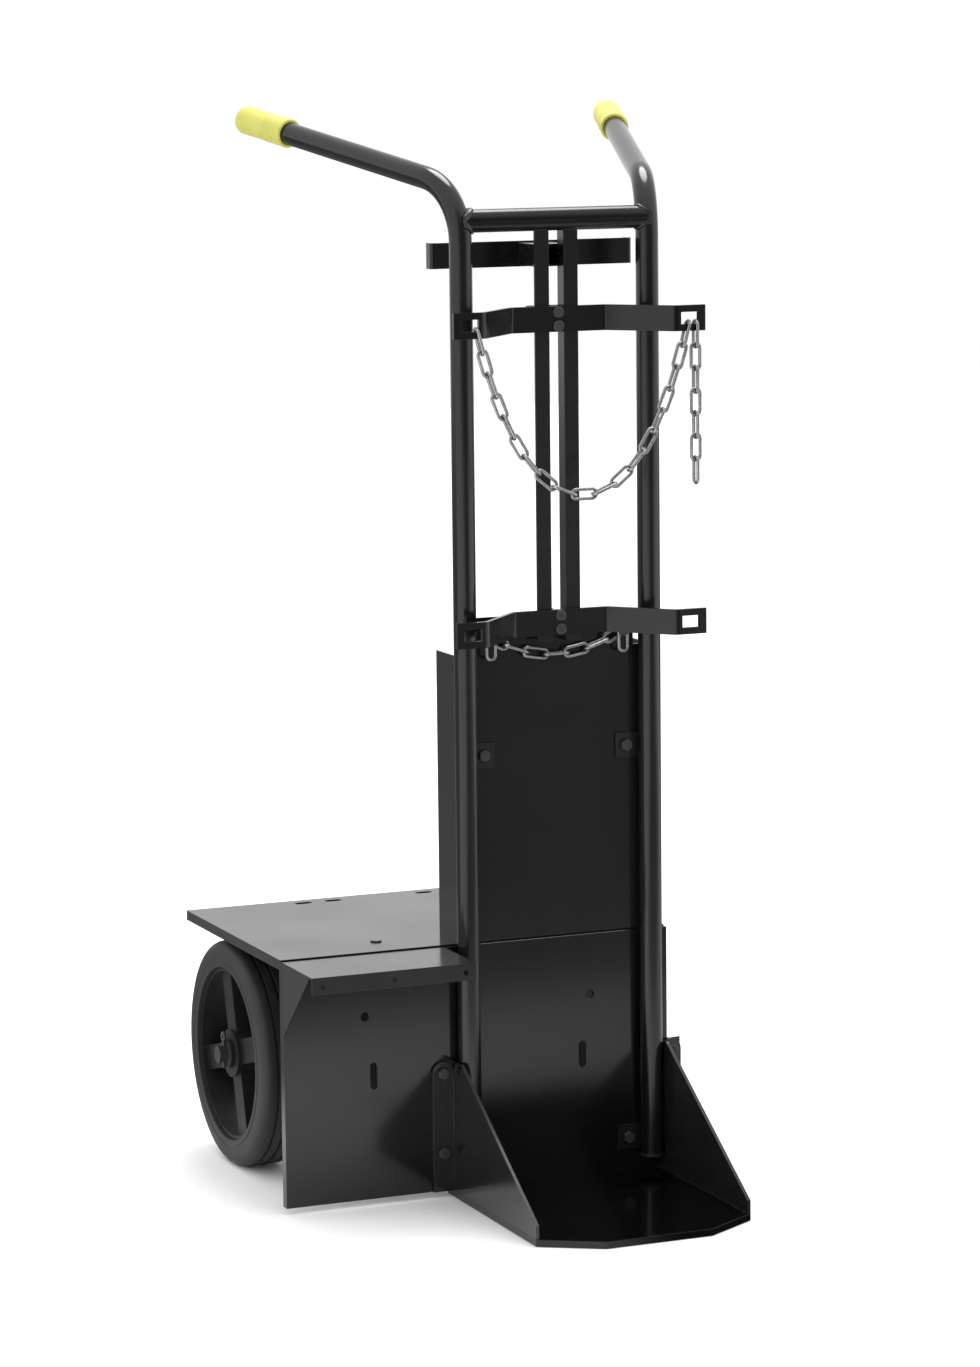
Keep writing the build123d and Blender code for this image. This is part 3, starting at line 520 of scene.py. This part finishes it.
# Along a grip, heights count from the handle's tip: the mouth, the bore's blind end and the grip's end.
mouth, blind_end, grip_end = -0.084, 0.0002, 0.006
bore, rim = 0.01355, 0.01755
sleeve, ring_top, cap = rim - 0.0008, rim - 0.0003, rim - 0.0006
first_ring, ring_pitch, ring_slope, ring_width = mouth + 0.014, 0.009, 0.001, 0.005
end_round = 0.006
grip_rings = [(bore, blind_end), (bore, mouth + 0.0006), (bore + 0.0008, mouth), (rim - 0.0012, mouth)]
grip_rings += [(rim - 0.0002, mouth + 0.0006), (rim, mouth + 0.002), (rim, mouth + 0.0045)]
grip_rings += [(sleeve, mouth + 0.006), (sleeve, mouth + 0.012)]
for ring in range(3):
    start = first_ring + ring * ring_pitch
    grip_rings += [(sleeve, start), (ring_top, start + ring_slope)]
    grip_rings += [(ring_top, start + ring_width - ring_slope), (sleeve, start + ring_width)]
grip_rings += [(sleeve, mouth + 0.045), (cap, -0.012), (cap, -0.003)]
for cosine, sine in quarter_turn():
    grip_rings.append((cap - end_round * (1.0 - cosine), grip_end - end_round * (1.0 - sine)))
grip_rings += [(0.0045, grip_end), (0.0012, grip_end - 0.0003)]
for side, sign in sides.items():
    grip = turned(f"{side}_vinyl_grip", grip_rings)
    bpy.ops.mesh.select_all(action="SELECT")
    bpy.ops.mesh.fill_holes(sides=0)
    bpy.ops.mesh.normals_make_consistent(inside=False)
    bpy.ops.object.mode_set(mode="OBJECT")
    bpy.ops.object.shade_smooth_by_angle(angle=math.radians(50.0))
    line = Vector((sign * handle_line.x, handle_line.y, handle_line.z))
    grip.rotation_euler = line.to_track_quat("Z", "Y").to_euler()
    grip.location = (sign * handle_tip.x, handle_tip.y, handle_tip.z)
    bpy.ops.object.transform_apply(location=True, rotation=True, scale=True)
    grip.data.materials.append(grip_vinyl)
    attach(grip, "frame")
    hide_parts(f"{side}_grip")

# Mast: two rolled angles back to back between the cross tube and the spine, with a gap that the saddle
# bolts slide in. They are welded under the cross tube.
rail_enamel = black_enamel("rail_enamel", 0.005, 0.2, 0.45, wear=0.3)
rail_weld_length, rail_weld_radius, rail_weld_drop, rail_weld_sink = 0.019, 0.002, 0.0116, 0.0002
for side in sides:
    dress(f"{side}_mast_rail", rail_enamel)
    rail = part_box(f"{side}_mast_rail")
    straight_weld(
        f"{side}_rail_weld",
        ((rail[0].x + rail[1].x) / 2, rail[0].y + rail_weld_sink, cross_height - rail_weld_drop),
        rail_weld_length,
        rail_weld_radius,
        (0.0, quarter, 0.0),
    )

# Cable hanger: a flat steel bar with its ends turned back, which holds coiled cable and hose. It sits on a
# short stem of folded sheet welded behind the mast.
hanger_enamel = black_enamel("hanger_enamel", 0.004, 0.2, 0.45, wear=0.3)
dress("cable_hanger", hanger_enamel)
dress("hanger_stem", hanger_enamel)

# Saddles: flat bar folded to a hat, which steadies the cylinder's back. Each ear has a slot for the chain.
# The upper one slides on the mast and clamps with a plate behind it. The lower one is bolted through the
# mast to the spine's tab.
# The saddles' pigment is set darker than the uprights' enamel: painted shade on their fronts.
saddle_enamel = black_enamel("saddle_enamel", 0.0015, 0.2, 0.48, wear=0.4)
for piece in ("upper_saddle", "lower_saddle", "upper_clamp_plate"):
    dress(piece, saddle_enamel)


def black_oxide(name, shade, roughness):
    # Steel fasteners blackened in a hot bath: dark, slightly metallic, and brighter on rubbed corners.
    material, tree, shader = new_finish(name)
    shader["Metallic"].default_value = 0.6
    bloom = mottle(tree, 120.0, 5.0)
    rubbed = use_effect(tree, edge_wear, {"Edge Width": 0.0006, "Patch Scale": 220.0, "Amount": 0.8})
    colour = mix_colours(tree, bloom, tinted(shade, (0.7, 0.7, 0.75)), tinted(shade, (1.4, 1.35, 1.3)))
    colour = mix_colours(tree, rubbed["Mask"], colour, (0.45, 0.44, 0.42, 1.0))
    feed(tree, shader["Base Color"], colour)
    feed(tree, shader["Roughness"], ramp(tree, bloom, (0.0, 1.0), (roughness * 0.75, roughness * 1.25)))
    feed(tree, shader["Normal"], relief(tree, bloom, 0.1, 0.0003, rubbed["Rounded"]))
    return material


bolt_steel = black_oxide("bolt_steel", 0.05, 0.38)
for bolts in ("upper_saddle_bolts", "lower_saddle_bolts"):
    dress(bolts, bolt_steel)

# Chains: welded long links of zinc-plated wire. The upper one hangs in a swag from the saddle's ears with
# a loose end at the right, and a short one hangs on two bolts below the lower saddle.


def dull_zinc():
    # Zinc plate on drawn wire: grey, cloudy from link to link, duller where it has bloomed.
    material, tree, shader = new_finish("chain_zinc")
    shader["Metallic"].default_value = 1.0
    bloom = mottle(tree, 320.0, 6.0)
    spots = ramp(tree, bloom, (0.55, 0.75))
    colour = mix_colours(tree, mottle(tree, 55.0, 4.0), (0.23, 0.23, 0.235, 1.0), (0.54, 0.54, 0.535, 1.0))
    colour = mix_colours(tree, spots, colour, (0.18, 0.18, 0.185, 1.0))
    feed(tree, shader["Base Color"], colour)
    feed(tree, shader["Roughness"], ramp(tree, bloom, (0.0, 1.0), (0.2, 0.45)))
    feed(tree, shader["Normal"], relief(tree, bloom, 0.12, 0.0003))
    return material


chain_zinc = dull_zinc()
for chain in ("upper_chain", "chain_tail", "upper_chain_anchors", "lower_chain", "lower_chain_end_links"):
    dress(chain, chain_zinc)
dress("lower_chain_bolts", bolt_steel)

# Spine: a panel of thin sheet folded to a U behind the uprights. It is bolted to lugs on them and, by two
# feet, to the platform, and its tab on top carries the mast.
spine_enamel = black_enamel("spine_enamel", 0.005, 0.15, 0.42)
lug_enamel = black_enamel("lug_enamel", 0.007, 0.24, 0.45, wear=0.4)
dress("spine_panel", spine_enamel)
for side in sides:
    dress(f"{side}_upright_lugs", lug_enamel)
for bolts in ("spine_foot_bolts", "lug_bolts", "gusset_bolts"):
    dress(bolts, bolt_steel)

# Apron, platform and shelf: folded sheet that carries the welding set, bolted together and to the uprights.
# The platform lies open to dust and scrapes, and the heads of its bracket bolts are painted over.
# The apron's pigment is set darker than the uprights' enamel: painted shade, chiefly for its foot, which
# reflects the dark toe plate.
apron_enamel = black_enamel("apron_enamel", 0.003, 0.12, 0.45)
platform_enamel = black_enamel("platform_enamel", 0.008, 0.2, 0.5, wear=0.4, dust=0.08)
dress("apron", apron_enamel)
for piece in ("platform", "front_shelf", "bracket_bolts"):
    dress(piece, platform_enamel)
dress("shelf_bolts", bolt_steel)

# Axle brackets and axle: two folded plates under the platform carry a round bar, with washers, spacer tubes
# and cotter pins that keep the wheels on it.
bracket_enamel = black_enamel("bracket_enamel", 0.007, 0.25, 0.45, wear=0.4)
for side in sides:
    dress(f"{side}_axle_bracket", bracket_enamel)
    dress(f"{side}_axle_spacer", bolt_steel)
for piece in ("axle", "axle_washers", "cotter_pins"):
    dress(piece, bolt_steel)

# Wheel centres: black mouldings with a deep rim, four spokes and a long hub. They turn on the axle with
# flanged bushes of black nylon pushed into the hub.
centre_plastic = black_moulding("centre_plastic", 0.006, 0.5, 1500.0, shine=0.3)
nylon = black_moulding("bush_nylon", 0.008, 0.4, 900.0, shine=0.3)
for side in sides:
    dress(f"{side}_wheel_centre", centre_plastic)
    dress(f"{side}_wheel_bushes", nylon)

# Tyres: solid black rubber, moulded with three grooves round the tread, rounded shoulders and a shallow ring
# in each wall, stretched over the rim.


def tyre_rubber():
    # Vulcanised rubber: near black, dull, with grey bloom and fine pits.
    material, tree, shader = new_finish("tyre_rubber")
    bloom = mottle(tree, 22.0, 6.0)
    grime = use_effect(tree, settled_dust, {"Drift Scale": 30.0, "Amount": 0.12})
    colour = mix_colours(tree, bloom, grey(0.007), (0.019, 0.0185, 0.018, 1.0))
    colour = mix_colours(tree, grime["Mask"], colour, (0.16, 0.15, 0.13, 1.0))
    feed(tree, shader["Base Color"], colour)
    feed(tree, shader["Roughness"], ramp(tree, bloom, (0.0, 1.0), (0.45, 0.75)))
    feed(tree, shader["Normal"], relief(tree, mottle(tree, 900.0), 0.3, 0.0005))
    return material


rubber = tyre_rubber()
# Across a tyre, heights count from its middle. The outline runs from the bead over one wall to the middle
# groove, and back over the other wall.
tread_radius, bead_radius, shoulder, wall = 0.138, 0.1061, 0.012, -0.032
ring_inner, ring_outer, ring_side, ring_floor = 0.1125, 0.1172, 0.0007, wall + 0.0008
groove_half, groove_floor, groove_middles = 0.00175, tread_radius - 0.003, (-0.013, 0.0)
lip_width, lip_drop, groove_draft = 0.0002, 0.0004, 0.0004
half_rings = [(bead_radius, wall + 0.001), (bead_radius + 0.001, wall), (ring_inner, wall)]
half_rings += [(ring_inner + ring_side, ring_floor), (ring_outer - ring_side, ring_floor), (ring_outer, wall)]
half_rings += [(tread_radius - shoulder - 0.0005, wall)]
for cosine, sine in quarter_turn():
    half_rings.append((tread_radius - shoulder * (1.0 - sine), wall + shoulder * (1.0 - cosine)))
for middle in groove_middles:
    near = [
        (tread_radius, groove_half + lip_width),
        (tread_radius - lip_drop, groove_half),
        (groove_floor, groove_half - groove_draft),
    ]
    half_rings += [(radius, middle - offset) for radius, offset in near]
    if middle < 0.0:
        half_rings += [(radius, middle + offset) for radius, offset in reversed(near)]
full_rings = half_rings + [(radius, -height) for radius, height in reversed(half_rings)]
for side in sides:
    low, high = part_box(f"{side}_tyre")
    tyre = turned(f"{side}_rubber_tyre", full_rings)
    bpy.ops.mesh.select_all(action="DESELECT")
    bpy.ops.object.mode_set(mode="OBJECT")
    for corner in tyre.data.vertices:
        corner.select = abs(corner.co.xy.length - bead_radius) < 0.0002
    bpy.ops.object.mode_set(mode="EDIT")
    bpy.ops.mesh.select_mode(type="VERT")
    bpy.ops.mesh.select_mode(type="EDGE")
    bpy.ops.mesh.bridge_edge_loops()
    bpy.ops.mesh.select_all(action="SELECT")
    bpy.ops.mesh.normals_make_consistent(inside=False)
    bpy.ops.object.mode_set(mode="OBJECT")
    bpy.ops.object.shade_smooth_by_angle(angle=math.radians(40.0))
    tyre.rotation_euler = (0.0, quarter, 0.0)
    tyre.location = (low + high) / 2
    bpy.ops.object.transform_apply(location=True, rotation=True, scale=True)
    tyre.data.materials.append(rubber)
    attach(tyre, f"{side}_wheel")
    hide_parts(f"{side}_tyre")
